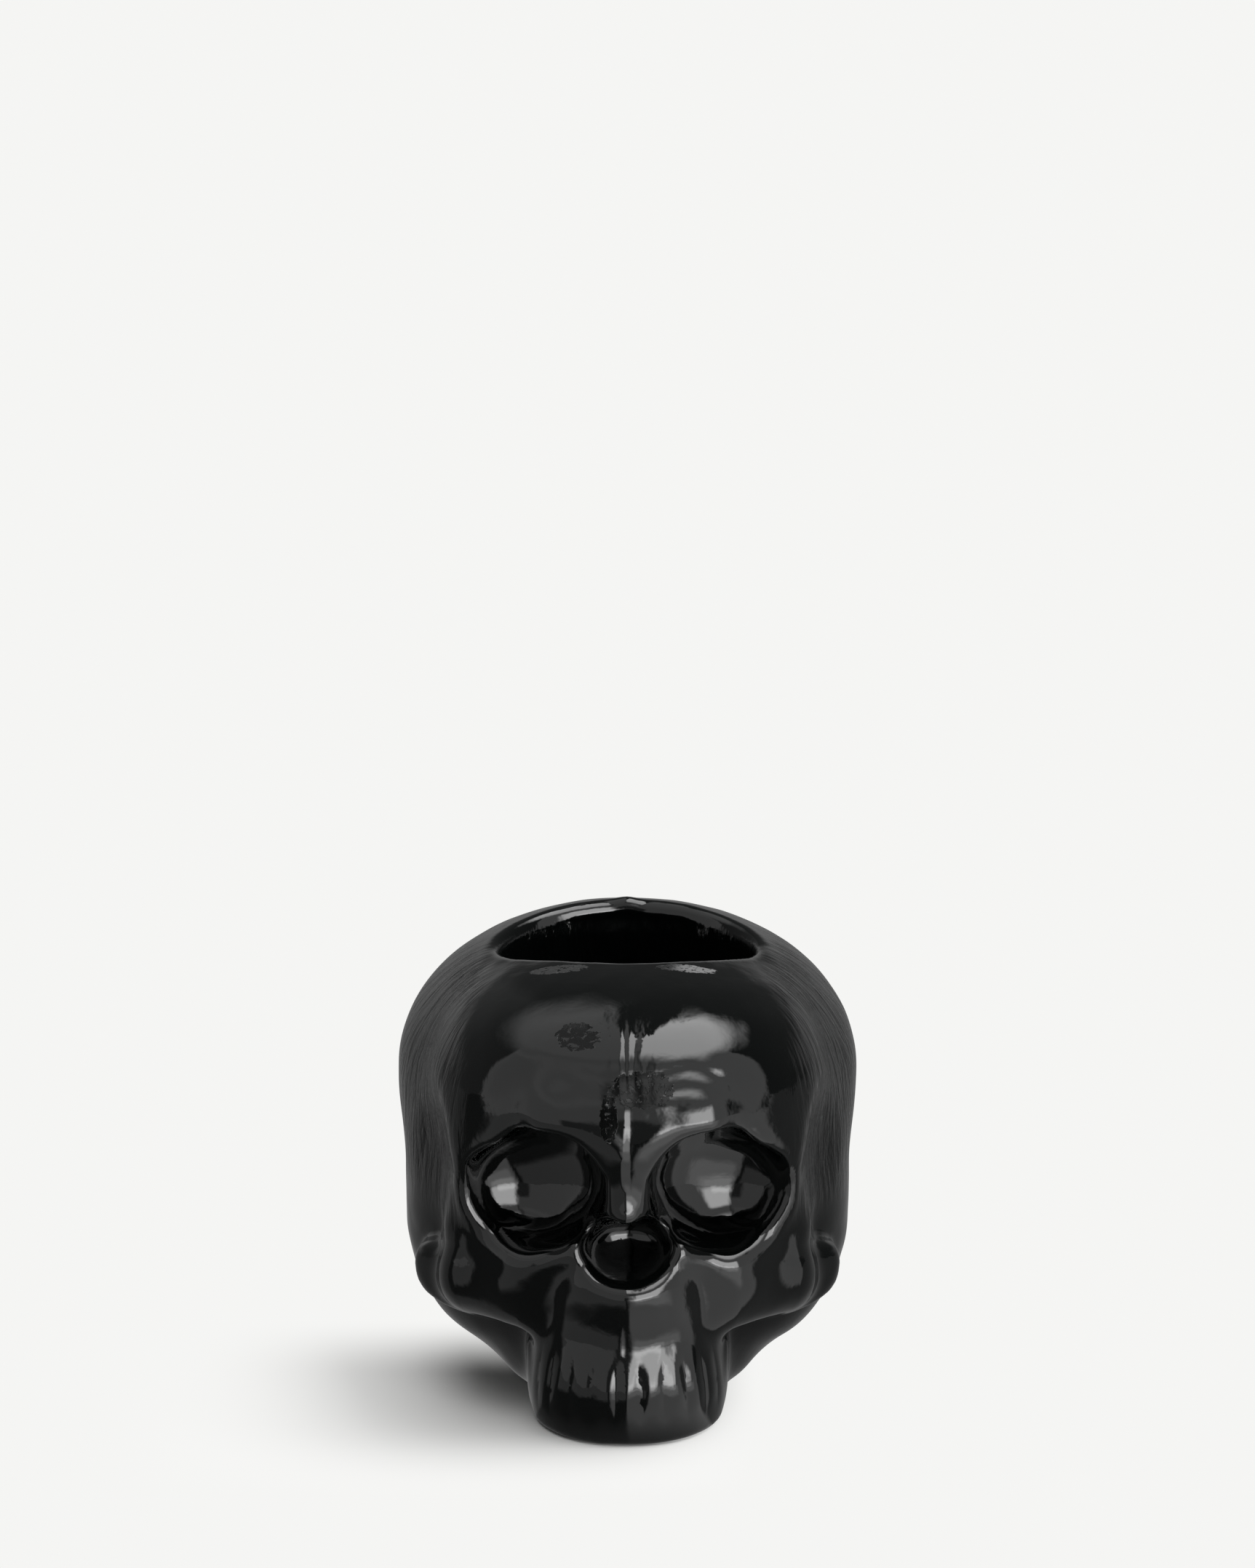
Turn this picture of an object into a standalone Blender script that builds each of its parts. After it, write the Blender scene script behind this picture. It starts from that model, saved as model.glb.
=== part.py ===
"""A candle holder shaped as a skull without its lower jaw, pressed in one piece of black glass.

Metres, +Z up. The face looks along -Y, the base is ground flat on Z = 0, and X = 0 is the
plane of symmetry. The form is worked like clay: every feature below adds to, or takes from,
a field of signed distances in millimetres, and the surface lies where the field is zero.
Points come in as (x, y, z) with x already folded to one side, so each feature is made twice.
"""

import math

import bpy
import numpy as np
import openvdb
from mathutils import Euler

MM = 0.001

# Driving dimensions, in millimetres. Heights are above the base. FRONT and BACK are
# distances from the middle of the base, along -Y and +Y.
CRANIUM_WIDTH = 105.0
CRANIUM_BACK = 69.0
WIDEST_HEIGHT = 61.0
CROWN_HEIGHT = 96.5
FOREHEAD_FRONT = 61.0
FOREHEAD_WIDTH = 90.0
BROW_HEIGHT = 71.0
CHEEK_WIDTH = 94.0
CHEEK_HEIGHT = 26.0
JAW_WIDTH = 44.0
JAW_FRONT = 69.0
EYE_SPACING = 39.6
EYE_HEIGHT = 55.0
EYE_WIDTH = 33.5
EYE_TALL = 27.5
EYE_TILT = 30.0
ROOF_SLOPE = 33.0
EYE_DEPTH = 9.0
NOSE_TIP_HEIGHT = 49.5
NOSE_FLOOR = 34.0
NOSE_WIDTH = 17.0
NOSE_DEPTH = 3.6
TOOTH_WIDTH = 4.8
TOOTH_TOP = 18.0
TOOTH_BOTTOM = 6.0
TOOTH_RELIEF = 0.5
FOOT_WIDTH = 66.5
FOOT_TALL = 3.0
MOUTH_WIDTH = 58.0
MOUTH_LENGTH = 47.0
MOUTH_CENTRE = 3.0
WELL_FLOOR = 30.0
WELL_DRAFT_X = 3.5
WELL_DRAFT_Y = 1.0
FLOOR_CORNER = 8.0
LIP_RADIUS = 1.8
NUB_HEIGHT = 0.9
LINE_WIDTH = 1.3
LINE_RELIEF = 0.9
LINE_SQUASH = 0.4
BASE_EDGE = 0.8

# How finely the field is sampled, and how many triangles are kept.
GRID_STEP = 1.0
GRID_MARGIN = 6.0
TRIANGLES = 10000


def placed(p, centre, turn):
    """The points in the frame of a form at centre, turned by Euler angles in degrees."""
    moved = [axis - c for axis, c in zip(p, centre)]
    if not any(turn):
        return moved
    rows = Euler([math.radians(a) for a in turn]).to_matrix().transposed()
    return [sum(row[i] * moved[i] for i in range(3)) for row in rows]


def ball(p, centre, radii, turn=(0, 0, 0), power=2.0):
    """Distance to an ellipsoid, or to a squarer one where power is over 2."""
    share = [np.abs(axis) / r for axis, r in zip(placed(p, centre, turn), radii)]
    level = np.maximum(sum(s**power for s in share), 1e-9) ** (1 / power)
    slope = np.sqrt(sum((s ** (power - 1) / r) ** 2 for s, r in zip(share, radii)))
    slope = slope * level ** (1 - power)
    return (level - 1) / np.clip(slope, 0.5 / max(radii), 2 / min(radii))


def limb(p, start, end, thick_start, thick_end):
    """Distance to a bar with round ends, which tapers from one radius to another."""
    along = [e - s for s, e in zip(start, end)]
    length2 = sum(a * a for a in along)
    moved = [axis - s for axis, s in zip(p, start)]
    t = np.clip(sum(m * a for m, a in zip(moved, along)) / length2, 0, 1)
    gap = np.sqrt(sum((m - t * a) ** 2 for m, a in zip(moved, along)))
    return gap - (thick_start + t * (thick_end - thick_start))


def merged(a, b, blend):
    """Two forms as one, with a fillet."""
    near = np.maximum(blend - np.abs(a - b), 0) / blend
    return np.minimum(a, b) - near * near * blend / 4


def carved(a, b, blend):
    """The first form without the second, with a rounded edge."""
    return -merged(-a, b, blend)


def swelling(p, centre, radii, height):
    """A low rise with no edge. A negative height makes a hollow."""
    return height * np.exp(-sum(((axis - c) / r) ** 2 for axis, c, r in zip(p, centre, radii)))


def braincase(p):
    side = CRANIUM_WIDTH / 2
    dome = CROWN_HEIGHT - WIDEST_HEIGHT
    front = -FOREHEAD_FRONT
    form = ball(p, (0, 10, WIDEST_HEIGHT), (side, 57, dome), power=2.1)
    frontal = ball(p, (0, front + 50, WIDEST_HEIGHT), (FOREHEAD_WIDTH / 2, 50, dome - 1.5), power=3.0)
    form = merged(form, frontal, 4)
    forehead = ball(p, (0, front + 38, BROW_HEIGHT), (FOREHEAD_WIDTH / 2 - 8, 38.5, 22.5), power=2.9)
    form = merged(form, forehead, 4)
    occiput = ball(p, (0, CRANIUM_BACK - 37, 42), (side - 8, 36.5, 29))
    form = merged(form, occiput, 8)
    temporal = ball(p, (0, 5, 38), (side - 1.8, 43, 38), power=3.0)
    form = merged(form, temporal, 5)
    temple = ball(p, (side + 5.5, front + 21, 54), (19, 20, 22))
    form = carved(form, temple, 6)
    return form - swelling(p, (0, front, BROW_HEIGHT + 9.5), (27, 10, 4.5), -0.7)


def midface(p):
    """The block from the brow to the teeth, between the eyes and below them."""
    front = -JAW_FRONT
    half = JAW_WIDTH / 2
    core = ball(p, (0, front + 36, 48), (32, 24, 24), power=2.4)
    bridge = limb(p, (0, front + 19, BROW_HEIGHT - 8), (0, front + 16.5, NOSE_FLOOR), 9, 12)
    jaw = ball(p, (0, front + 21, 7), (half - 0.5, 21, 22), power=2.2)
    above = ball(p, (0, front + 27, 26), (half - 1.5, 22, 20), power=2.4)
    return merged(merged(merged(jaw, above, 6), bridge, 8), core, 6)


def jaw_to_foot(p):
    """The floor of the skull, from behind the teeth to the pad under the braincase."""
    block = ball(p, (0, 55 - JAW_FRONT, 10), (FOOT_WIDTH / 2 - 2, 34, 16), power=2.4)
    under_cheeks = ball(p, (0, 55 - JAW_FRONT, 21), (CHEEK_WIDTH / 2 - 5, 29, 18), power=2.6)
    return merged(block, under_cheeks, 4)


def brow(p):
    """The ridge over each eye and the swelling between them, highest along the sockets' edge."""
    front = -FOREHEAD_FRONT
    inner = (3.5, front + 2, BROW_HEIGHT - 7)
    peak = (16, front + 3.2, BROW_HEIGHT + 0.5)
    form = limb(p, inner, peak, 4.8, 4)
    form = merged(form, limb(p, peak, (31, front + 15, BROW_HEIGHT - 9), 4, 3), 4)
    between = ball(p, (0, front + 6, BROW_HEIGHT - 5), (9, 9, 7))
    return merged(form, between, 5)


def eye_rim(p):
    """The outer and lower edge of the eye socket, and the bone just below it."""
    front = -JAW_FRONT
    tall = CHEEK_HEIGHT
    corner = (36, front + 29.5, tall + 14)
    under = (20, front + 17.5, tall + 10.5)
    form = limb(p, (30.5, front + 28, BROW_HEIGHT - 7), corner, 3, 3.4)
    form = merged(form, limb(p, corner, (35, front + 30.5, tall + 2), 3.4, 5), 2)
    behind = limb(p, (33.5, front + 34, BROW_HEIGHT - 17), (35.5, front + 36, tall + 10), 4, 4)
    form = merged(form, behind, 5)
    lower = limb(p, (34, front + 26, tall + 12), under, 3.6, 3.8)
    lower = merged(lower, limb(p, under, (9, front + 14, tall + 16), 3.8, 4), 2)
    filled = limb(p, (33, front + 27, tall + 7.5), (20, front + 19, tall + 7), 5.5, 6.5)
    return merged(form, merged(lower, filled, 3), 5)


def cheekbone(p):
    """The cheek, its outer tab, and the arch that runs back from it to the braincase."""
    front = -JAW_FRONT
    wide = CHEEK_WIDTH / 2
    tall = CHEEK_HEIGHT
    body = limb(p, (34, front + 28, tall + 2.5), (20, front + 20, tall + 2), 7, 8.5)
    tab = ball(p, (wide - 11, front + 33, tall + 1), (13, 5, 6.6), turn=(0, 0, 40), power=2.8)
    arch = limb(p, (wide - 4, front + 45, tall), (wide - 2, front + 65, tall + 2), 3.2, 2.5)
    form = merged(body, eye_rim(p), 4)
    form = merged(merged(form, tab, 4), arch, 4)
    form = form - swelling(p, (26.5, front + 17, tall + 5), (4, 5, 4), 1.0)
    return form - swelling(p, (16, front + 11, tall + 3), (5, 8, 7), -1.2)


def eye_socket(p):
    """A bowl, tilted down to the side, whose roof slopes down to the side from a peak."""
    x = EYE_SPACING / 2
    y = 13 - JAW_FRONT
    bowl_radii = (EYE_WIDTH / 2, EYE_DEPTH + 4, EYE_TALL / 2)
    bowl = ball(p, (x + 0.3, y, EYE_HEIGHT), bowl_radii, turn=(0, EYE_TILT, 24), power=2.15)
    slope = math.radians(ROOF_SLOPE)
    over_roof = (x - 2.8 - p[0]) * math.sin(slope) + (EYE_HEIGHT + 17 - p[2]) * math.cos(slope)
    bowl = carved(bowl, over_roof, 4)
    peak = ball(p, (x - 3.5, y, EYE_HEIGHT + 9), (9.5, EYE_DEPTH, 8.4))
    return merged(bowl, peak, 3)


def nasal_bones(p):
    """The bridge of the nose, whose tip overhangs the opening."""
    tip = (0, 5 - JAW_FRONT, NOSE_TIP_HEIGHT)
    return limb(p, (0, 12.5 - JAW_FRONT, BROW_HEIGHT - 7), tip, 3.4, 2.6)


def nose_opening(p):
    """A pear-shaped hollow under the nasal bones, which ends below in two lobes."""
    radius = NOSE_WIDTH / 4
    top = ball(p, (0, 5 - JAW_FRONT, NOSE_TIP_HEIGHT - 9), (radius + 0.5, NOSE_DEPTH, 8))
    lobe = ball(p, (radius + 0.3, 4.5 - JAW_FRONT, NOSE_FLOOR + 4.5), (radius - 0.3, NOSE_DEPTH, 7.5))
    return merged(top, lobe, 2)


def teeth(p):
    """Upright rises and grooves round the front of the jaw, faded out above and below."""
    x, y, z = p
    middle = (TOOTH_TOP + TOOTH_BOTTOM) / 2
    reach = (TOOTH_TOP - TOOTH_BOTTOM) / 2
    arch_radius = JAW_WIDTH / 2
    behind = y + JAW_FRONT
    fade = np.exp(-(((z - middle) / reach) ** 4)) * np.clip((arch_radius - 5 - behind) / 10, 0, 1)
    round_arch = np.arctan2(x, arch_radius - behind + 3) * arch_radius
    return TOOTH_RELIEF * fade * (np.abs(np.cos(np.pi * round_arch / TOOTH_WIDTH)) - 0.6)


def mould_line(p):
    """The raised line round the face, where the front of the mould met its sides."""
    front = -JAW_FRONT
    wide = CHEEK_WIDTH / 2
    tall = CHEEK_HEIGHT
    path = (
        (32.5, front + 26.5, BROW_HEIGHT),
        (34, front + 27.5, BROW_HEIGHT - 11),
        (37.6, front + 28.7, BROW_HEIGHT - 22),
        (38.8, front + 30.4, tall + 12.5),
        (40, front + 38, tall + 7),
        (wide - 1.2, front + 41, tall + 5),
        (wide - 0.8, front + 40.5, tall + 2),
        (wide - 3.2, front + 38, tall - 3.5),
        (wide - 6.4, front + 34, tall - 5.8),
        (33, front + 30, tall - 6.8),
        (26, front + 24.5, tall - 6.5),
        (JAW_WIDTH / 2 + 0.4, front + 21, tall - 10.2),
        (JAW_WIDTH / 2 - 0.7, front + 22, 9),
        (JAW_WIDTH / 2 - 1.2, front + 24, 2),
    )
    # Depths count for less, so that the line keeps its height where the path leaves the surface.
    squashed = (p[0], p[1] * LINE_SQUASH, p[2])
    path = [(x, y * LINE_SQUASH, z) for x, y, z in path]
    away = limb(squashed, path[0], path[1], 0, 0)
    for start, end in zip(path[1:], path[2:]):
        away = np.minimum(away, limb(squashed, start, end, 0, 0))
    return LINE_RELIEF * np.exp(-((away / LINE_WIDTH) ** 2))


def foot(p):
    """The low pad that the braincase stands on."""
    return ball(p, (0, 4, 0), (FOOT_WIDTH / 2, 31, 2 * FOOT_TALL), power=3.0)


def well(p):
    """The room for the candle. It narrows downwards, as the plunger that pressed it did."""
    x, y, z = p
    down = np.clip((CROWN_HEIGHT - z) / (CROWN_HEIGHT - WELL_FLOOR), -0.2, 1)
    half_x = MOUTH_WIDTH / 2 - WELL_DRAFT_X * down
    half_y = MOUTH_LENGTH / 2 - WELL_DRAFT_Y * down
    level = np.sqrt((x / half_x) ** 2 + ((y - MOUTH_CENTRE) / half_y) ** 2)
    wall = (level - 1) * np.minimum(half_x, half_y)
    return carved(wall, z - WELL_FLOOR, FLOOR_CORNER)


def skull_field(x, y, z):
    """Signed distance to the surface: negative inside the glass."""
    p = (np.abs(x), y, z)
    form = braincase(p)
    form = merged(form, midface(p), 8)
    form = merged(form, jaw_to_foot(p), 6)
    form = merged(form, brow(p), 8)
    form = merged(form, cheekbone(p), 4)
    form = carved(form, eye_socket(p), 4.5)
    form = merged(form, nasal_bones(p), 4)
    form = carved(form, nose_opening(p), 3.5)
    form = form - teeth(p) - mould_line(p)
    back_of_mouth = (0, MOUTH_CENTRE + MOUTH_LENGTH / 2, CROWN_HEIGHT)
    form = form - swelling(p, back_of_mouth, (3, 5, 6), NUB_HEIGHT)
    form = merged(form, foot(p), BASE_EDGE)
    form = carved(form, z, 2 * BASE_EDGE)
    return carved(form, well(p), 2 * LIP_RADIUS)


def drawn(field, points, step):
    """The points moved along the field's slope onto the surface."""
    small = 0.05
    for _ in range(3):
        x, y, z = points.T
        slope = np.stack([
            field(x + small, y, z) - field(x - small, y, z),
            field(x, y + small, z) - field(x, y - small, z),
            field(x, y, z + small) - field(x, y, z - small),
        ], 1) / (2 * small)
        steepness = np.maximum((slope**2).sum(1), 0.05)
        move = slope * (field(x, y, z) / steepness)[:, None]
        size = np.linalg.norm(move, axis=1)
        move *= np.minimum(1, 0.4 * step / np.maximum(size, 1e-9))[:, None]
        points = points - move
    return points


def surface(field, step):
    """Vertices and four-cornered faces where the field is zero."""
    half_width = math.ceil(max(CRANIUM_WIDTH, CHEEK_WIDTH) / 2 + GRID_MARGIN)
    # A grid half a step off centre makes the two sides come out alike.
    low = (-half_width - step / 2, -max(JAW_FRONT, FOREHEAD_FRONT) - GRID_MARGIN, -step * 2.5)
    high = (half_width, CRANIUM_BACK + GRID_MARGIN, CROWN_HEIGHT + GRID_MARGIN)
    axes = [np.arange(l, h + step, step, dtype=np.float32) for l, h in zip(low, high)]
    values = field(*np.meshgrid(*axes, indexing="ij", sparse=True))
    grid = openvdb.FloatGrid(3 * step)
    grid.copyFromArray(np.ascontiguousarray(values, np.float32))
    points, quads = grid.convertToQuads(0.0)
    return drawn(field, points * step + np.array(low), step), quads


def black_glass():
    material = bpy.data.materials.new("black glass")
    material.use_nodes = True
    look = material.node_tree.nodes["Principled BSDF"].inputs
    look["Base Color"].default_value = (0.01, 0.012, 0.012, 1)
    look["Roughness"].default_value = 0.08
    return material


def main():
    for thing in list(bpy.data.objects):
        bpy.data.objects.remove(thing)
    points, quads = surface(skull_field, GRID_STEP)
    flat = np.abs(points[:, 2]) < 0.02
    points[flat, 2] = 0
    mesh = bpy.data.meshes.new("skull")
    mesh.from_pydata((points * MM).tolist(), [], quads.tolist())
    mesh.validate()
    mesh.shade_smooth()
    mesh.materials.append(black_glass())
    skull = bpy.data.objects.new("skull", mesh)
    bpy.context.scene.collection.objects.link(skull)
    fewer = skull.modifiers.new("fewer", "DECIMATE")
    fewer.ratio = TRIANGLES / (2 * len(quads))


if __name__ == "__main__":
    main()
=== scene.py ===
"""Looks of the skull candle holder: one piece of pressed black glass on white paper.

The glass is made again from the same field of distances as the solid, at a finer step, with
the small marks of the pressing. Sizes in the field are millimetres, as in the solid's source;
everything in Blender is metres.
"""

import math

import bmesh
import bpy
import numpy as np
import openvdb
from mathutils import Euler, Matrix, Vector

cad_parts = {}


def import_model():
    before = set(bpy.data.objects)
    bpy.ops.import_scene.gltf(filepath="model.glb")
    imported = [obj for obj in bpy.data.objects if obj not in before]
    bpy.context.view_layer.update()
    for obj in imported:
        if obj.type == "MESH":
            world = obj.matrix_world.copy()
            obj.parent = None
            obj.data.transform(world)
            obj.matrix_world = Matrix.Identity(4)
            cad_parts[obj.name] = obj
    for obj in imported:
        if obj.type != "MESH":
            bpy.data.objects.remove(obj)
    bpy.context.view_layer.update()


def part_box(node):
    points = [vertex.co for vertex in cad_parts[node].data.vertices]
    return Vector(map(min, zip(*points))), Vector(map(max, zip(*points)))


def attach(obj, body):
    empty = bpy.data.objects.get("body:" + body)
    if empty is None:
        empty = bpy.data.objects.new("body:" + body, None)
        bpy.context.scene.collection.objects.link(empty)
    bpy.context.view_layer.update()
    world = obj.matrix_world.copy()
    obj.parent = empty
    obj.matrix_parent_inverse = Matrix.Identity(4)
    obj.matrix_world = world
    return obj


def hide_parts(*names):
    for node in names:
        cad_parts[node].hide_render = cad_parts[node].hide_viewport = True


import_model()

MM = 0.001

# Driving dimensions, in millimetres. Heights are above the base. FRONT and BACK are
# distances from the middle of the base, along -Y and +Y.
CRANIUM_WIDTH = 105.0
CRANIUM_BACK = 69.0
WIDEST_HEIGHT = 61.0
CROWN_HEIGHT = 96.5
FOREHEAD_FRONT = 61.0
FOREHEAD_WIDTH = 90.0
BROW_HEIGHT = 71.0
CHEEK_WIDTH = 94.0
CHEEK_HEIGHT = 26.0
JAW_WIDTH = 44.0
JAW_FRONT = 69.0
EYE_SPACING = 39.6
EYE_HEIGHT = 55.0
EYE_WIDTH = 33.5
EYE_TALL = 27.5
EYE_TILT = 30.0
ROOF_SLOPE = 33.0
EYE_DEPTH = 9.0
NOSE_TIP_HEIGHT = 49.5
NOSE_FLOOR = 34.0
NOSE_WIDTH = 19.6
NOSE_TALL = 14.6
NOSE_DEPTH = 16.6
TOOTH_WIDTH = 4.8
TOOTH_TOP = 18.0
TOOTH_BOTTOM = 6.0
TOOTH_RELIEF = 0.5
FOOT_WIDTH = 66.5
FOOT_TALL = 3.0
MOUTH_WIDTH = 58.0
MOUTH_LENGTH = 47.0
MOUTH_CENTRE = 3.0
WELL_FLOOR = 30.0
WELL_DRAFT_X = 3.5
WELL_DRAFT_Y = 1.0
FLOOR_CORNER = 8.0
LIP_RADIUS = 1.8
NUB_HEIGHT = 0.9
LINE_WIDTH = 1.3
LINE_RELIEF = 0.9
LINE_SQUASH = 0.4
BASE_EDGE = 0.8

# How finely the field is sampled, and how far the samples reach past the skull.
GRID_STEP = 0.92
GRID_MARGIN = 6.0
# Over which distance a slope of the field is measured.
SLOPE_STEP = 0.05


def placed(p, centre, turn):
    """The points in the frame of a form at centre, turned by Euler angles in degrees."""
    moved = [axis - c for axis, c in zip(p, centre)]
    if not any(turn):
        return moved
    rows = Euler([math.radians(a) for a in turn]).to_matrix().transposed()
    return [sum(row[i] * moved[i] for i in range(3)) for row in rows]


def ball(p, centre, radii, turn=(0, 0, 0), power=2.0):
    """Distance to an ellipsoid, or to a squarer one where power is over 2."""
    share = [np.abs(axis) / r for axis, r in zip(placed(p, centre, turn), radii)]
    level = np.maximum(sum(s**power for s in share), 1e-9) ** (1 / power)
    slope = np.sqrt(sum((s ** (power - 1) / r) ** 2 for s, r in zip(share, radii)))
    slope = slope * level ** (1 - power)
    return (level - 1) / np.clip(slope, 0.5 / max(radii), 2 / min(radii))


def limb(p, start, end, thick_start, thick_end):
    """Distance to a bar with round ends, which tapers from one radius to another."""
    along = [e - s for s, e in zip(start, end)]
    length2 = sum(a * a for a in along)
    moved = [axis - s for axis, s in zip(p, start)]
    t = np.clip(sum(m * a for m, a in zip(moved, along)) / length2, 0, 1)
    gap = np.sqrt(sum((m - t * a) ** 2 for m, a in zip(moved, along)))
    return gap - (thick_start + t * (thick_end - thick_start))


def merged(a, b, blend):
    """Two forms as one, with a fillet."""
    near = np.maximum(blend - np.abs(a - b), 0) / blend
    return np.minimum(a, b) - near * near * blend / 4


def carved(a, b, blend):
    """The first form without the second, with a rounded edge."""
    return -merged(-a, b, blend)


def swelling(p, centre, radii, height):
    """A low rise with no edge. A negative height makes a hollow."""
    return height * np.exp(-sum(((axis - c) / r) ** 2 for axis, c, r in zip(p, centre, radii)))


def braincase(p):
    side = CRANIUM_WIDTH / 2
    dome = CROWN_HEIGHT - WIDEST_HEIGHT
    front = -FOREHEAD_FRONT
    form = ball(p, (0, 10, WIDEST_HEIGHT), (side, 57, dome), power=2.1)
    frontal = ball(p, (0, front + 50, WIDEST_HEIGHT), (FOREHEAD_WIDTH / 2, 50, dome - 1.5), power=3.0)
    form = merged(form, frontal, 4)
    forehead = ball(p, (0, front + 38, BROW_HEIGHT), (FOREHEAD_WIDTH / 2 - 8, 38.5, 22.5), power=2.9)
    form = merged(form, forehead, 4)
    occiput = ball(p, (0, CRANIUM_BACK - 37, 42), (side - 8, 36.5, 29))
    form = merged(form, occiput, 8)
    temporal = ball(p, (0, 5, 38), (side - 1.8, 43, 38), power=3.0)
    form = merged(form, temporal, 5)
    temple = ball(p, (side + 5.5, front + 21, 54), (19, 20, 22))
    form = carved(form, temple, 6)
    return form - swelling(p, (0, front, BROW_HEIGHT + 9.5), (27, 10, 4.5), -0.7)


def midface(p):
    """The block from the brow to the teeth, between the eyes and below them."""
    front = -JAW_FRONT
    half = JAW_WIDTH / 2
    core = ball(p, (0, front + 36, 48), (32, 24, 24), power=2.4)
    bridge = limb(p, (0, front + 19, BROW_HEIGHT - 8), (0, front + 16.5, NOSE_FLOOR), 9, 12)
    jaw = ball(p, (0, front + 21, 7), (half - 0.5, 21, 22), power=2.2)
    above = ball(p, (0, front + 27, 26), (half - 1.5, 22, 20), power=2.4)
    return merged(merged(merged(jaw, above, 6), bridge, 8), core, 6)


def jaw_to_foot(p):
    """The floor of the skull, from behind the teeth to the pad under the braincase."""
    block = ball(p, (0, 55 - JAW_FRONT, 10), (FOOT_WIDTH / 2 - 2, 34, 16), power=2.4)
    under_cheeks = ball(p, (0, 55 - JAW_FRONT, 21), (CHEEK_WIDTH / 2 - 5, 29, 18), power=2.6)
    return merged(block, under_cheeks, 4)


def brow(p):
    """The ridge over each eye and the swelling between them, highest along the sockets' edge."""
    front = -FOREHEAD_FRONT
    inner = (3.5, front + 2, BROW_HEIGHT - 7)
    peak = (16, front + 3.2, BROW_HEIGHT + 0.5)
    form = limb(p, inner, peak, 4.8, 4)
    form = merged(form, limb(p, peak, (31, front + 15, BROW_HEIGHT - 9), 4, 3), 4)
    between = ball(p, (0, front + 6, BROW_HEIGHT - 5), (9, 9, 7))
    return merged(form, between, 5)


def eye_rim(p):
    """The outer and lower edge of the eye socket, and the bone just below it."""
    front = -JAW_FRONT
    tall = CHEEK_HEIGHT
    corner = (36, front + 29.5, tall + 14)
    under = (20, front + 17.5, tall + 10.5)
    form = limb(p, (30.5, front + 28, BROW_HEIGHT - 7), corner, 3, 3.4)
    form = merged(form, limb(p, corner, (35, front + 30.5, tall + 2), 3.4, 5), 2)
    behind = limb(p, (33.5, front + 34, BROW_HEIGHT - 17), (35.5, front + 36, tall + 10), 4, 4)
    form = merged(form, behind, 5)
    lower = limb(p, (34, front + 26, tall + 12), under, 3.6, 3.8)
    lower = merged(lower, limb(p, under, (9, front + 14, tall + 16), 3.8, 4), 2)
    filled = limb(p, (33, front + 27, tall + 7.5), (20, front + 19, tall + 7), 5.5, 6.5)
    return merged(form, merged(lower, filled, 3), 5)


def cheekbone(p):
    """The cheek, its outer tab, and the arch that runs back from it to the braincase."""
    front = -JAW_FRONT
    wide = CHEEK_WIDTH / 2
    tall = CHEEK_HEIGHT
    body = limb(p, (34, front + 28, tall + 2.5), (20, front + 20, tall + 2), 7, 8.5)
    tab = ball(p, (wide - 11, front + 33, tall + 1), (13, 5, 6.6), turn=(0, 0, 40), power=2.8)
    arch = limb(p, (wide - 4, front + 45, tall), (wide - 2, front + 65, tall + 2), 3.2, 2.5)
    form = merged(body, eye_rim(p), 4)
    form = merged(merged(form, tab, 4), arch, 4)
    form = form - swelling(p, (26.5, front + 17, tall + 5), (4, 5, 4), 1.0)
    return form - swelling(p, (16, front + 11, tall + 3), (5, 8, 7), -1.2)


def eye_socket(p):
    """A bowl, tilted down to the side, whose roof slopes down to the side from a peak."""
    x = EYE_SPACING / 2
    y = 13 - JAW_FRONT
    bowl_radii = (EYE_WIDTH / 2, EYE_DEPTH + 4, EYE_TALL / 2)
    bowl = ball(p, (x + 0.3, y, EYE_HEIGHT), bowl_radii, turn=(0, EYE_TILT, 24), power=2.15)
    slope = math.radians(ROOF_SLOPE)
    over_roof = (x - 2.8 - p[0]) * math.sin(slope) + (EYE_HEIGHT + 17 - p[2]) * math.cos(slope)
    bowl = carved(bowl, over_roof, 4)
    peak = ball(p, (x - 3.5, y, EYE_HEIGHT + 9), (9.5, EYE_DEPTH, 8.4))
    return merged(bowl, peak, 3)


def nasal_bones(p):
    """The bridge of the nose, whose tip overhangs the opening."""
    tip = (0, 5 - JAW_FRONT, NOSE_TIP_HEIGHT)
    return limb(p, (0, 12.5 - JAW_FRONT, BROW_HEIGHT - 7), tip, 3.4, 2.6)


def nose_opening(p):
    """A hollow under the nasal bones, bent round the upper jaw, which runs out below."""
    x, y, z = p
    bent = (x, y - x**2 / 40, z)
    radii = (NOSE_WIDTH / 2, NOSE_DEPTH, NOSE_TALL / 2)
    return ball(bent, (0, 3 - JAW_FRONT, NOSE_FLOOR + 8.5), radii)


def teeth(p):
    """Upright rises and grooves round the front of the jaw, faded out above and below."""
    x, y, z = p
    middle = (TOOTH_TOP + TOOTH_BOTTOM) / 2
    reach = (TOOTH_TOP - TOOTH_BOTTOM) / 2
    arch_radius = JAW_WIDTH / 2
    behind = y + JAW_FRONT
    fade = np.exp(-(((z - middle) / reach) ** 4)) * np.clip((arch_radius - 5 - behind) / 10, 0, 1)
    round_arch = np.arctan2(x, arch_radius - behind + 3) * arch_radius
    return TOOTH_RELIEF * fade * (np.abs(np.cos(np.pi * round_arch / TOOTH_WIDTH)) - 0.6)


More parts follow.
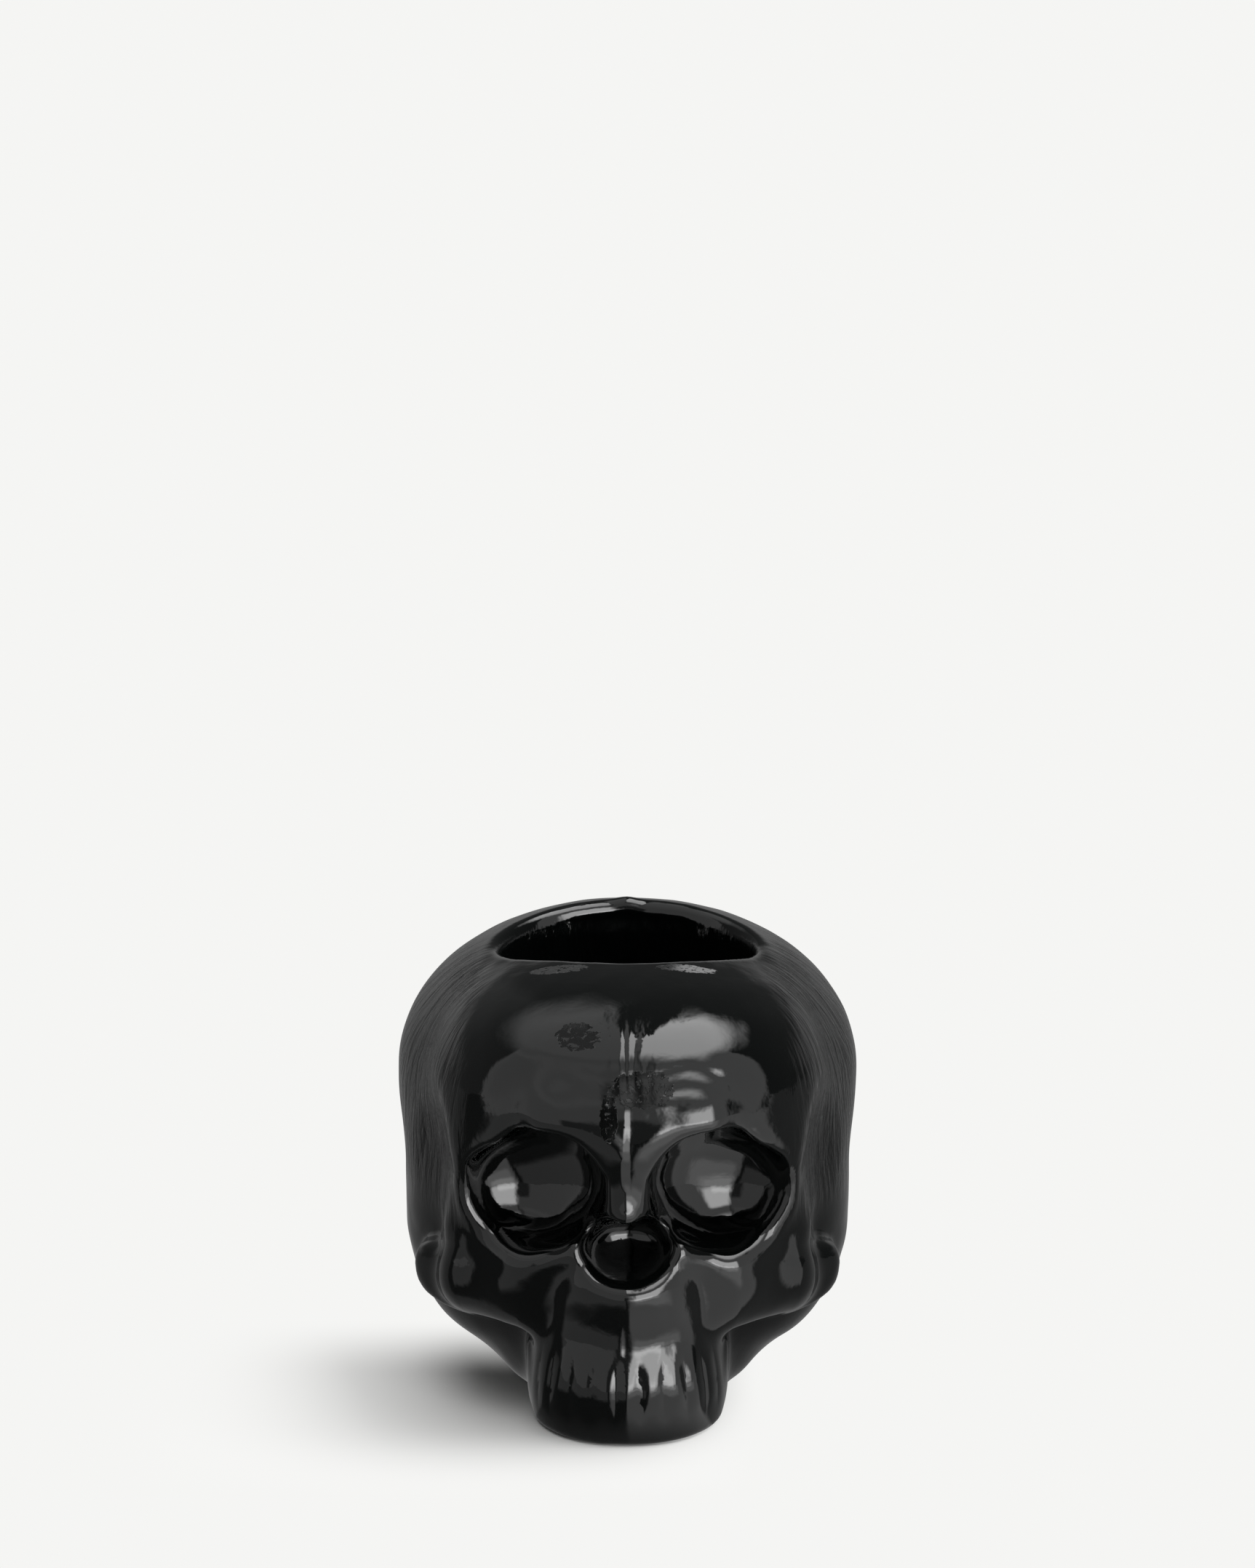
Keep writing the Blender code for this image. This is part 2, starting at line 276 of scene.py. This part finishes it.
def mould_line(p):
    """The raised line round the face, where the front of the mould met its sides."""
    front = -JAW_FRONT
    wide = CHEEK_WIDTH / 2
    tall = CHEEK_HEIGHT
    path = (
        (32.5, front + 26.5, BROW_HEIGHT),
        (34, front + 27.5, BROW_HEIGHT - 11),
        (37.6, front + 28.7, BROW_HEIGHT - 22),
        (38.8, front + 30.4, tall + 12.5),
        (40, front + 38, tall + 7),
        (wide - 1.2, front + 41, tall + 5),
        (wide - 0.8, front + 40.5, tall + 2),
        (wide - 3.2, front + 38, tall - 3.5),
        (wide - 6.4, front + 34, tall - 5.8),
        (33, front + 30, tall - 6.8),
        (26, front + 24.5, tall - 6.5),
        (JAW_WIDTH / 2 + 0.4, front + 21, tall - 10.2),
        (JAW_WIDTH / 2 - 0.7, front + 22, 9),
        (JAW_WIDTH / 2 - 1.2, front + 24, 2),
    )
    # Depths count for less, so that the line keeps its height where the path leaves the surface.
    squashed = (p[0], p[1] * LINE_SQUASH, p[2])
    path = [(x, y * LINE_SQUASH, z) for x, y, z in path]
    away = limb(squashed, path[0], path[1], 0, 0)
    for start, end in zip(path[1:], path[2:]):
        away = np.minimum(away, limb(squashed, start, end, 0, 0))
    return LINE_RELIEF * np.exp(-((away / LINE_WIDTH) ** 2))


def foot(p):
    """The low pad that the braincase stands on."""
    return ball(p, (0, 4, 0), (FOOT_WIDTH / 2, 31, 2 * FOOT_TALL), power=3.0)


def well(p):
    """The room for the candle. It narrows downwards, as the plunger that pressed it did."""
    x, y, z = p
    down = np.clip((CROWN_HEIGHT - z) / (CROWN_HEIGHT - WELL_FLOOR), -0.2, 1)
    half_x = MOUTH_WIDTH / 2 - WELL_DRAFT_X * down
    half_y = MOUTH_LENGTH / 2 - WELL_DRAFT_Y * down
    level = np.sqrt((x / half_x) ** 2 + ((y - MOUTH_CENTRE) / half_y) ** 2)
    wall = (level - 1) * np.minimum(half_x, half_y)
    return carved(wall, z - WELL_FLOOR, FLOOR_CORNER)


def skull_field(x, y, z):
    """Signed distance to the surface: negative inside the glass."""
    p = (np.abs(x), y, z)
    form = braincase(p)
    form = merged(form, midface(p), 8)
    form = merged(form, jaw_to_foot(p), 6)
    form = merged(form, brow(p), 8)
    form = merged(form, cheekbone(p), 4)
    form = carved(form, eye_socket(p), 4.5)
    form = merged(form, nasal_bones(p), 4)
    form = carved(form, nose_opening(p), 3.5)
    form = form - teeth(p) - mould_line(p)
    back_of_mouth = (0, MOUTH_CENTRE + MOUTH_LENGTH / 2, CROWN_HEIGHT)
    form = form - swelling(p, back_of_mouth, (3, 5, 6), NUB_HEIGHT)
    form = merged(form, foot(p), BASE_EDGE)
    form = carved(form, z, 2 * BASE_EDGE)
    return carved(form, well(p), 2 * LIP_RADIUS)


def gradient(field, points):
    """The field's slope at the points, along x, y and z."""
    small = SLOPE_STEP
    x, y, z = points.T
    return np.stack([
        field(x + small, y, z) - field(x - small, y, z),
        field(x, y + small, z) - field(x, y - small, z),
        field(x, y, z + small) - field(x, y, z - small),
    ], 1) / (2 * small)


def drawn(field, points, step):
    """The points moved along the field's slope onto the surface."""
    for _ in range(3):
        slope = gradient(field, points)
        steepness = np.maximum((slope**2).sum(1), 0.05)
        move = slope * (field(*points.T) / steepness)[:, None]
        size = np.linalg.norm(move, axis=1)
        move *= np.minimum(1, 0.4 * step / np.maximum(size, 1e-9))[:, None]
        points = points - move
    return points


def surface(field, step):
    """Vertices and four-cornered faces where the field is zero."""
    half_width = math.ceil(max(CRANIUM_WIDTH, CHEEK_WIDTH) / 2 + GRID_MARGIN)
    # A grid half a step off centre makes the two sides come out alike.
    low = (-half_width - step / 2, -max(JAW_FRONT, FOREHEAD_FRONT) - GRID_MARGIN, -step * 2.5)
    high = (half_width, CRANIUM_BACK + GRID_MARGIN, CROWN_HEIGHT + GRID_MARGIN)
    axes = [np.arange(l, h + step, step, dtype=np.float32) for l, h in zip(low, high)]
    values = field(*np.meshgrid(*axes, indexing="ij", sparse=True))
    grid = openvdb.FloatGrid(3 * step)
    grid.copyFromArray(np.ascontiguousarray(values, np.float32))
    points, quads = grid.convertToQuads(0.0)
    return drawn(field, points * step + np.array(low), step), quads


# The camera, as the photograph was taken: it looks down by ELEVATION at the target, which is
# DISTANCE away and lies on the picture's middle column, in row TARGET_ROW. The scale is the
# one at the target.
PHOTO_HEIGHT = 2156
TARGET = Vector((0, 0, 0.038))
TARGET_ROW = 1612
DISTANCE = 1.0
ELEVATION = math.radians(20)
PIXELS_PER_METRE = 6000
SENSOR = 36


def node(tree, kind, **inputs):
    """A shader node, with its sockets set by name, underscores standing for spaces."""
    made = tree.nodes.new(kind)
    for name, value in inputs.items():
        made.inputs[name.replace("_", " ")].default_value = value
    return made


def camera():
    """A camera tilted up from the target, so that the target comes out below the middle."""
    away = TARGET_ROW - PHOTO_HEIGHT / 2
    focal = PIXELS_PER_METRE * DISTANCE
    # The tilt and the focal length depend on each other, and settle in a few rounds.
    for _ in range(20):
        below_axis = math.atan(away / focal)
        focal = PIXELS_PER_METRE * DISTANCE * math.cos(below_axis)
    lens = bpy.data.cameras.new("camera")
    lens.sensor_fit = "VERTICAL"
    lens.sensor_height = SENSOR
    lens.lens = SENSOR * focal / PHOTO_HEIGHT
    lens.clip_start = 0.05
    eye = bpy.data.objects.new("camera", lens)
    eye.location = TARGET + DISTANCE * Vector((0, -math.cos(ELEVATION), math.sin(ELEVATION)))
    eye.rotation_euler = (math.pi / 2 - ELEVATION + below_axis, 0, 0)
    bpy.context.scene.collection.objects.link(eye)
    bpy.context.scene.camera = eye


# Height in mm, turns per mm along x, y and z times 2 pi, and where the wave starts.
WAVES = (
    (0.035, 0.36, 0.12, -0.19, 0.3),
    (0.030, -0.22, 0.31, 0.35, 1.9),
    (0.018, 0.62, -0.40, 0.33, 4.1),
    (0.006, 0.95, 0.50, -0.82, 2.2),
    (0.004, -1.15, 0.62, 0.70, 5.0),
)


def waviness(x, y, z):
    """The unevenness of pressed glass: low waves of several lengths, bent by each other."""
    total = 0.0
    bend = np.sin(0.11 * x + 0.17 * z + 1.0) + np.sin(0.13 * y - 0.09 * z + 2.0)
    for height, qx, qy, qz, start in WAVES:
        total = total + height * np.sin(qx * x + qy * y + qz * z + start + 0.9 * bend)
    return total


def window(value, low, high, soft):
    """One between two bounds, falling softly to nothing outside them."""
    below, above = (np.clip(gap / soft, -60, 60) for gap in (low - value, value - high))
    return 1 / (1 + np.exp(below)) / (1 + np.exp(above))


def brow_folds(x, y, z):
    """The soft folds that arch over the right brow, and the upright ones at the midline."""
    front = window(-y, 40, 90, 1.0)
    arch = z + 0.012 * (x - 15) ** 2
    over_brow = window(x, 4, 24, 2.5) * window(arch, 77.5, 84, 1.2)
    arched = 0.07 * over_brow * np.sin(1.7 * arch + 0.25 * x + np.sin(0.35 * x))
    at_midline = 0.045 * window(x, -3.0, 4.5, 0.8) * window(z + 0.5 * x, 79, 88, 1.5)
    upright = np.sin(2.3 * x + 0.5 + np.sin(0.9 * x) + 0.5 * np.sin(0.7 * z))
    return front * (arched + at_midline * upright)


def brow_ridges(x, y, z):
    """The swelling over each socket, and the fill between it and the midline."""
    side = np.abs(x)
    line = 71.5 - 0.028 * (side - 15) ** 2
    ridge = 0.9 * np.exp(-(((z - line) / 3.6) ** 2)) * window(side, 3, 21, 3.5)
    fill = 0.5 * np.exp(-(((side - 8) / 5) ** 2) - ((z - 76) / 6) ** 2)
    return (ridge + fill) * window(-y, 45, 90, 1.0)


def seam(x, y, z):
    """A low ridge down the midline of the face, where the halves of the mould met."""
    front = window(-y, 45, 90, 1.0)
    off = x + 1.0 + 0.25 * np.sin(0.33 * z)
    return 0.30 * front * np.exp(-np.abs(off) / 3.0) * window(z, 3, 84, 2.0)


def under_nose(x, y, z):
    """The swelling under the nose, a little to the right of the midline."""
    spine = 0.5 * np.exp(-((x - 3) / 6) ** 2 - ((z - 31.5) / 4.5) ** 2)
    return spine * window(-y, 52, 90, 1.0)


def cheek_swellings(x, y, z):
    """The bone below each eye socket."""
    across = (np.abs(x) - 25.5) / 6
    up = (z - 36.5) / 5
    return 1.2 * np.exp(-(across**2) - up**2) * window(-y, 38, 90, 1.5)


def front_streaks(x, y, z):
    """Upright ripples down the front of the upper jaw."""
    front = window(-y, 56, 90, 1.0) * window(z, 6, 32, 2.0) * window(x, -10, 11, 1.5)
    return 0.05 * front * np.sin(1.25 * x + 0.8 * np.sin(0.22 * z) + 0.6 * np.sin(0.6 * x + 1.0))


def glabella(x, y, z):
    """A low swelling between the brows."""
    return 1.5 * np.exp(-((x / 12) ** 2) - ((z - 75) / 7) ** 2) * window(-y, 45, 90, 1.0)


MARKS = (
    waviness, brow_folds, brow_ridges, seam, glabella, under_nose, cheek_swellings, front_streaks,
)


def glass_field(x, y, z):
    """The skull's field, raised by the marks."""
    outside = skull_field(x, y, z)
    for mark in MARKS:
        outside = outside - mark(x, y, z)
    return outside


def skull_mesh():
    """The glass as a mesh that keeps inside the box of the solid it replaces."""
    points, quads = surface(glass_field, GRID_STEP)
    low, high = (np.array(corner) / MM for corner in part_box("skull"))
    normals = gradient(glass_field, points)
    normals /= np.linalg.norm(normals, axis=1)[:, None]
    points = np.clip(points, low, high)
    mesh = bpy.data.meshes.new("glass_skull")
    mesh.from_pydata((points * MM).tolist(), [], quads.tolist())
    mesh.validate()
    mesh.shade_smooth()
    mesh.normals_split_custom_set_from_vertices(normals.tolist())
    return mesh


def math_node(tree, operation, first, second=None, third=None):
    """The output of a Math node, each input of which is a number or another output."""
    made = tree.nodes.new("ShaderNodeMath")
    made.operation = operation
    for socket, value in zip(made.inputs, (first, second, third)):
        if isinstance(value, (int, float)):
            socket.default_value = value
        elif value is not None:
            tree.links.new(value, socket)
    return made.outputs[0]


def vector_math(tree, operation, *values):
    """A Vector Math node, each input of which is three numbers or another output."""
    made = tree.nodes.new("ShaderNodeVectorMath")
    made.operation = operation
    for socket, value in zip(made.inputs, values):
        if isinstance(value, tuple):
            socket.default_value = value
        elif value is not None:
            tree.links.new(value, socket)
    return made


def place(tree):
    """The three coordinates in the object's own axes, and the vector they come from."""
    where = tree.nodes.new("ShaderNodeTexCoord")
    split = tree.nodes.new("ShaderNodeSeparateXYZ")
    tree.links.new(where.outputs["Object"], split.inputs[0])
    return split.outputs, where.outputs["Object"]


def in_millimetres(tree):
    """What place() gives, in millimetres, the unit of the field."""
    where = tree.nodes.new("ShaderNodeTexCoord")
    scaled = vector_math(tree, "SCALE", where.outputs["Object"])
    scaled.inputs["Scale"].default_value = 1 / MM
    split = tree.nodes.new("ShaderNodeSeparateXYZ")
    tree.links.new(scaled.outputs[0], split.inputs[0])
    return split.outputs, scaled.outputs[0]


def ramp(tree, value, low, high):
    """A smooth rise from 0 at low to 1 at high, or a fall where low is over high."""
    made = tree.nodes.new("ShaderNodeMapRange")
    made.interpolation_type = "SMOOTHSTEP"
    if low > high:
        made.inputs["To Min"].default_value, made.inputs["To Max"].default_value = 1, 0
        low, high = high, low
    made.inputs["From Min"].default_value = low
    made.inputs["From Max"].default_value = high
    tree.links.new(value, made.inputs["Value"])
    return made.outputs[0]


def noise(tree, vector, scale, detail, rough, bent):
    """The value of a Noise texture, which is a half on average."""
    looks = {"Scale": scale, "Detail": detail, "Roughness": rough, "Distortion": bent}
    made = node(tree, "ShaderNodeTexNoise", **looks)
    tree.links.new(vector, made.inputs["Vector"])
    return made.outputs["Fac"]


def spot(tree, parts, centre, radii):
    """One inside an ellipsoid, in millimetres, falling softly to nothing at its skin."""
    total = None
    for axis, c, r in zip(parts, centre, radii):
        share = math_node(tree, "DIVIDE", math_node(tree, "SUBTRACT", axis, c), r)
        total = math_node(tree, "MULTIPLY_ADD", share, share, total if total is not None else 0.0)
    return ramp(tree, total, 1.0, 0.25)


# Where the glass took a chill in the mould and stayed rough: centre and radii in millimetres,
# and how the surface leans there.
CHILLS = (
    ((3, -61, 79), (10, 12, 5), (0, 0, -0.8)),
    ((-4, -62, 73), (3, 12, 8), (0, 0, -0.8)),
    ((-10.5, -52, 88), (7, 12, 3.5), (0, 0, -0.8)),
    ((13, -25.5, 94.5), (10, 3.5, 3), (0, -0.4, 0)),
    ((-15, -25.5, 94.5), (10, 3.5, 3), (0, -0.4, 0)),
)


# The glass, and its roughness where nothing dulls it. The scratches are a noise stretched
# upright, STRIPES units of it to a radian round an upright axis at STRIPE_AXIS_Y.
GLASS_COLOUR = (0.002, 0.0026, 0.0025, 1)
GLASS_IOR = 1.5
POLISH = 0.045
STRIPES = 20.0
STRIPE_AXIS_Y = -6.0


def brushed_sides(tree, parts):
    """How high the upright scratches are, and where they are: on the sides, above the cheeks."""
    x, y, z = parts
    turn = math_node(tree, "ARCTAN2", x, math_node(tree, "SUBTRACT", y, STRIPE_AXIS_Y))
    at = tree.nodes.new("ShaderNodeCombineXYZ")
    tree.links.new(math_node(tree, "MULTIPLY", turn, STRIPES), at.inputs["X"])
    tree.links.new(math_node(tree, "MULTIPLY", z, 0.07), at.inputs["Y"])
    brush = noise(tree, at.outputs[0], 1.0, 4.0, 0.6, 0.4)
    sideways = ramp(tree, math_node(tree, "ABSOLUTE", x), 32, 44)
    behind = ramp(tree, y, -34, -16)
    around = math_node(tree, "MAXIMUM", sideways, behind)
    on_sides = math_node(tree, "MULTIPLY", around, ramp(tree, z, 36, 48))
    on_sides = math_node(tree, "MULTIPLY", on_sides, ramp(tree, z, 92, 87))
    return math_node(tree, "MULTIPLY", brush, on_sides), on_sides


def chilled_flakes(tree, parts, whole):
    """Where the chilled flakes are, and the vector by which they lean."""
    grain = noise(tree, whole, 0.75, 3.0, 0.6, 0.5)
    flakes = 0.0
    leans = None
    for centre, radii, lean in CHILLS:
        here = math_node(tree, "MULTIPLY", grain, spot(tree, parts, centre, radii))
        flake = ramp(tree, here, 0.40, 0.45)
        flakes = math_node(tree, "MAXIMUM", flake, flakes)
        leans = vector_math(tree, "MULTIPLY_ADD", flake, lean, leans).outputs[0]
    return flakes, leans


def black_glass_finish():
    """Opaque black glass: glossy, uneven, brushed upright on the sides, rough at the chills."""
    material = bpy.data.materials.new("black_glass")
    material.use_nodes = True
    tree = material.node_tree
    look = tree.nodes["Principled BSDF"].inputs
    look["Base Color"].default_value = GLASS_COLOUR
    look["IOR"].default_value = GLASS_IOR
    parts, whole = in_millimetres(tree)
    scratches, on_sides = brushed_sides(tree, parts)
    flakes, leans = chilled_flakes(tree, parts, whole)

    wavy = noise(tree, whole, 0.16, 3.0, 0.5, 0.3)
    height = math_node(tree, "MULTIPLY", wavy, 0.10)
    height = math_node(tree, "MULTIPLY_ADD", scratches, 0.8, height)
    height = math_node(tree, "MULTIPLY_ADD", flakes, 0.16, height)
    bump = node(tree, "ShaderNodeBump", Strength=1.0, Distance=MM)
    tree.links.new(height, bump.inputs["Height"])
    leaning = vector_math(tree, "ADD", leans, bump.outputs[0])
    unit = vector_math(tree, "NORMALIZE", leaning.outputs[0])
    tree.links.new(unit.outputs[0], look["Normal"])

    smudges = ramp(tree, noise(tree, whole, 0.05, 4.0, 0.6, 1.0), 0.45, 0.75)
    rough = POLISH
    for share, more in ((on_sides, 0.05), (flakes, 0.12), (smudges, 0.04)):
        rough = math_node(tree, "MULTIPLY_ADD", share, more, rough)
    tree.links.new(rough, look["Roughness"])
    return material


def polar(azimuth, elevation, distance):
    """A place seen from the object: azimuth 0 is towards the camera, and rises to its right."""
    a, e = math.radians(azimuth), math.radians(elevation)
    return Vector((math.sin(a) * math.cos(e), -math.cos(a) * math.cos(e), math.sin(e))) * distance


LIGHT_DISTANCE = 1.6
LIGHT_TARGET = Vector((0, 0, 0.04))


def soft_box(name, azimuth, elevation, spread, radiance):
    """A flat light that fills these angles, wide and high, as seen from the object.

    Its power is its radiance times pi and its area. It lights what is matt, such as the floor;
    what the glass reflects is the dome.
    """
    lamp = bpy.data.lights.new(name, "AREA")
    lamp.shape = "RECTANGLE"
    sizes = (2 * LIGHT_DISTANCE * math.tan(math.radians(angle) / 2) for angle in spread)
    lamp.size, lamp.size_y = sizes
    lamp.energy = radiance * math.pi * lamp.size * lamp.size_y
    box = bpy.data.objects.new(name, lamp)
    box.location = polar(azimuth, elevation, LIGHT_DISTANCE) + LIGHT_TARGET
    box.rotation_euler = polar(azimuth, elevation, 1).to_track_quat("Z", "Y").to_euler()
    box.visible_glossy = False
    bpy.context.scene.collection.objects.link(box)


# The paper's white, a little warm.
WHITE = 0.913
PAPER = (WHITE, WHITE, WHITE * 0.985, 1)
# Where the floor is matt, so that it takes the shadow: bounds in metres, and their softness.
SHADOW_LEFT = (-0.115, -0.03)
SHADOW_RIGHT = (0.03, 0.0)
SHADOW_Y = (-0.078, -0.012, 0.035)


def sheet(name, half):
    """A level square round the origin, from -half to half."""
    mesh = bpy.data.meshes.new(name)
    corners = [(-half, -half, 0), (half, -half, 0), (half, half, 0), (-half, half, 0)]
    mesh.from_pydata(corners, [], [(0, 1, 2, 3)])
    made = bpy.data.objects.new(name, mesh)
    bpy.context.scene.collection.objects.link(made)
    return made


def seen_rays(tree):
    """One for rays that come from the eye, off a glossy surface or through a clear one."""
    rays = tree.nodes.new("ShaderNodeLightPath").outputs
    mirrored = math_node(tree, "MAXIMUM", rays["Is Camera Ray"], rays["Is Glossy Ray"])
    return math_node(tree, "MAXIMUM", mirrored, rays["Is Transmission Ray"])


def paper():
    """White paper that glows for the eye and in reflections, and is matt round the shadow."""
    material = bpy.data.materials.new("white_paper")
    material.use_nodes = True
    tree = material.node_tree
    look = tree.nodes["Principled BSDF"]
    look.inputs["Base Color"].default_value = PAPER
    look.inputs["Roughness"].default_value = 0.9
    look.inputs["Specular IOR Level"].default_value = 0
    (x, y, _), _ = place(tree)
    across = math_node(tree, "MULTIPLY", ramp(tree, x, *SHADOW_LEFT), ramp(tree, x, *SHADOW_RIGHT))
    matt = math_node(tree, "MULTIPLY", across, between(tree, y, *SHADOW_Y))
    glowing = math_node(tree, "SUBTRACT", 1.0, matt)
    glow_share = math_node(tree, "MULTIPLY", glowing, seen_rays(tree))
    glow = node(tree, "ShaderNodeEmission", Color=PAPER, Strength=1.0)
    mix = tree.nodes.new("ShaderNodeMixShader")
    tree.links.new(glow_share, mix.inputs[0])
    tree.links.new(look.outputs[0], mix.inputs[1])
    tree.links.new(glow.outputs[0], mix.inputs[2])
    tree.links.new(mix.outputs[0], tree.nodes["Material Output"].inputs[0])
    return material


# The studio, in metres, and the brightness of the sky for what is matt.
FLOOR_HALF = 30.0
DOME_RADIUS = 12.0
CARD_HEIGHT = 0.0005
SKY = 0.12

# What the glass reflects, as angles in degrees seen from the object, azimuth 0 towards the
# camera and 90 to its right: centre and half width, softness of the sides, lower and upper
# elevation, softness of those, brightness.
DOME_LIGHTS = {
    "low right": (19, 16, 5, -8, 10, 6, 2.6),
    "left panel": (-38, 43, 5, -20, 50, 12, 0.65),
    "camera side": (-3, 10, 6, -20, 22, 8, -0.55),
    "left ceiling": (-90, 88, 8, 50, 120, 22, 0.85),
    "right panel": (42, 35, 5, -10, 52, 10, 0.9),
    "window": (28, 21, 10, 2, 37, 8, 6.5),
    "right ceiling": (85, 82, 10, 57, 120, 18, 5.5),
    "behind": (180, 60, 30, -90, 14, 12, 0.22),
    "far left": (-120, 45, 10, -90, 45, 20, 0.07),
}
DOME_DARK = 0.08

# What it reflects of the table, round a place under the teeth: azimuths and their softness,
# how far away it starts and how softly, brightness added.
TABLE_LIGHTS = {
    "front left": (-95, 0, 6, 0.02, 0.02, -0.15),
    "left far": (-80, -6, 6, 0.085, 0.04, 0.38),
    "front right": (2, 80, 6, 0.02, 0.02, 0.8),
    "right middle": (8, 60, 10, 0.10, 0.05, 0.8),
    "right far": (6, 48, 12, 0.30, 0.20, 1.5),
}
TABLE_DARK = 0.22
TABLE_CENTRE = 0.055


def between(tree, value, low, high, soft):
    """One between two bounds, with this softness at both."""
    rise = ramp(tree, value, low - soft / 2, low + soft / 2)
    return math_node(tree, "MULTIPLY", rise, ramp(tree, value, high + soft / 2, high - soft / 2))


def dome_glow(tree):
    """The brightness of the dome at a place on it, from DOME_LIGHTS."""
    (x, y, z), whole = place(tree)
    length = vector_math(tree, "LENGTH", whole)
    ahead = math_node(tree, "MULTIPLY", y, -1.0)
    azimuth = math_node(tree, "DEGREES", math_node(tree, "ARCTAN2", x, ahead))
    sine = math_node(tree, "DIVIDE", z, length.outputs["Value"])
    elevation = math_node(tree, "DEGREES", math_node(tree, "ARCSINE", sine))
    total = DOME_DARK
    for centre, half, side_soft, low, high, soft, shine in DOME_LIGHTS.values():
        turned = math_node(tree, "SUBTRACT", azimuth, centre)
        turned = math_node(tree, "WRAP", turned, 180.0, -180.0)
        across = between(tree, turned, -half, half, side_soft)
        both = math_node(tree, "MULTIPLY", across, between(tree, elevation, low, high, soft))
        total = math_node(tree, "MULTIPLY_ADD", both, shine, total)
    return total


def table_glow(tree):
    """The brightness of the table's card at a place on it, from TABLE_LIGHTS."""
    (x, y, _), _ = place(tree)
    ahead = math_node(tree, "MULTIPLY_ADD", y, -1.0, -TABLE_CENTRE)
    azimuth = math_node(tree, "DEGREES", math_node(tree, "ARCTAN2", x, ahead))
    squares = math_node(tree, "MULTIPLY_ADD", x, x, math_node(tree, "MULTIPLY", ahead, ahead))
    away = math_node(tree, "SQRT", squares)
    total = TABLE_DARK
    for left, right, side_soft, near, soft, shine in TABLE_LIGHTS.values():
        across = between(tree, azimuth, left, right, side_soft)
        beyond = ramp(tree, away, near - soft / 2, near + soft / 2)
        both = math_node(tree, "MULTIPLY", across, beyond)
        total = math_node(tree, "MULTIPLY_ADD", both, shine, total)
    return total


def reflected_only(thing, glow):
    """Gives a card its glow; the camera doesn't see it, and it lights nothing matt."""
    thing.visible_camera = False
    thing.visible_diffuse = False
    thing.visible_shadow = False
    material = bpy.data.materials.new(thing.name)
    material.use_nodes = True
    material.cycles.emission_sampling = "NONE"
    tree = material.node_tree
    look = tree.nodes["Principled BSDF"].inputs
    look["Base Color"].default_value = (0, 0, 0, 1)
    look["Specular IOR Level"].default_value = 0
    look["Emission Color"].default_value = (1, 1, 1, 1)
    tree.links.new(glow(tree), look["Emission Strength"])
    thing.data.materials.append(material)


def dome():
    """A sphere round everything, for the glass to reflect."""
    shape = bmesh.new()
    bmesh.ops.create_uvsphere(shape, u_segments=32, v_segments=16, radius=DOME_RADIUS)
    mesh = bpy.data.meshes.new("reflection_dome")
    shape.to_mesh(mesh)
    shape.free()
    made = bpy.data.objects.new("reflection_dome", mesh)
    bpy.context.scene.collection.objects.link(made)
    return made


def studio():
    """The floor, and the card on it and the dome that only the glass sees."""
    floor = sheet("floor", FLOOR_HALF)
    floor.data.materials.append(paper())
    table = sheet("table_card", DOME_RADIUS)
    table.location.z = CARD_HEIGHT
    reflected_only(table, table_glow)
    reflected_only(dome(), dome_glow)


def world():
    """Dim light all round, behind which the eye sees white paper above the horizon too."""
    made = bpy.data.worlds.new("studio")
    bpy.context.scene.world = made
    made.use_nodes = True
    tree = made.node_tree
    dim = tree.nodes["Background"]
    dim.inputs["Color"].default_value = (1, 1, 1, 1)
    dim.inputs["Strength"].default_value = SKY
    white = node(tree, "ShaderNodeBackground", Color=PAPER, Strength=1.0)
    mix = tree.nodes.new("ShaderNodeMixShader")
    tree.links.new(seen_rays(tree), mix.inputs[0])
    tree.links.new(dim.outputs[0], mix.inputs[1])
    tree.links.new(white.outputs[0], mix.inputs[2])
    tree.links.new(mix.outputs[0], tree.nodes["World Output"].inputs[0])


def main():
    bpy.context.scene.view_settings.view_transform = "Standard"
    camera()
    skull = bpy.data.objects.new("glass_skull", skull_mesh())
    bpy.context.scene.collection.objects.link(skull)
    skull.data.materials.append(black_glass_finish())
    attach(skull, "root")
    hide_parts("skull")
    studio()
    world()
    soft_box("side_light", 105, 58, (40, 40), 4.7)
    soft_box("top_light", 0, 90, (60, 60), 1.95)


main()
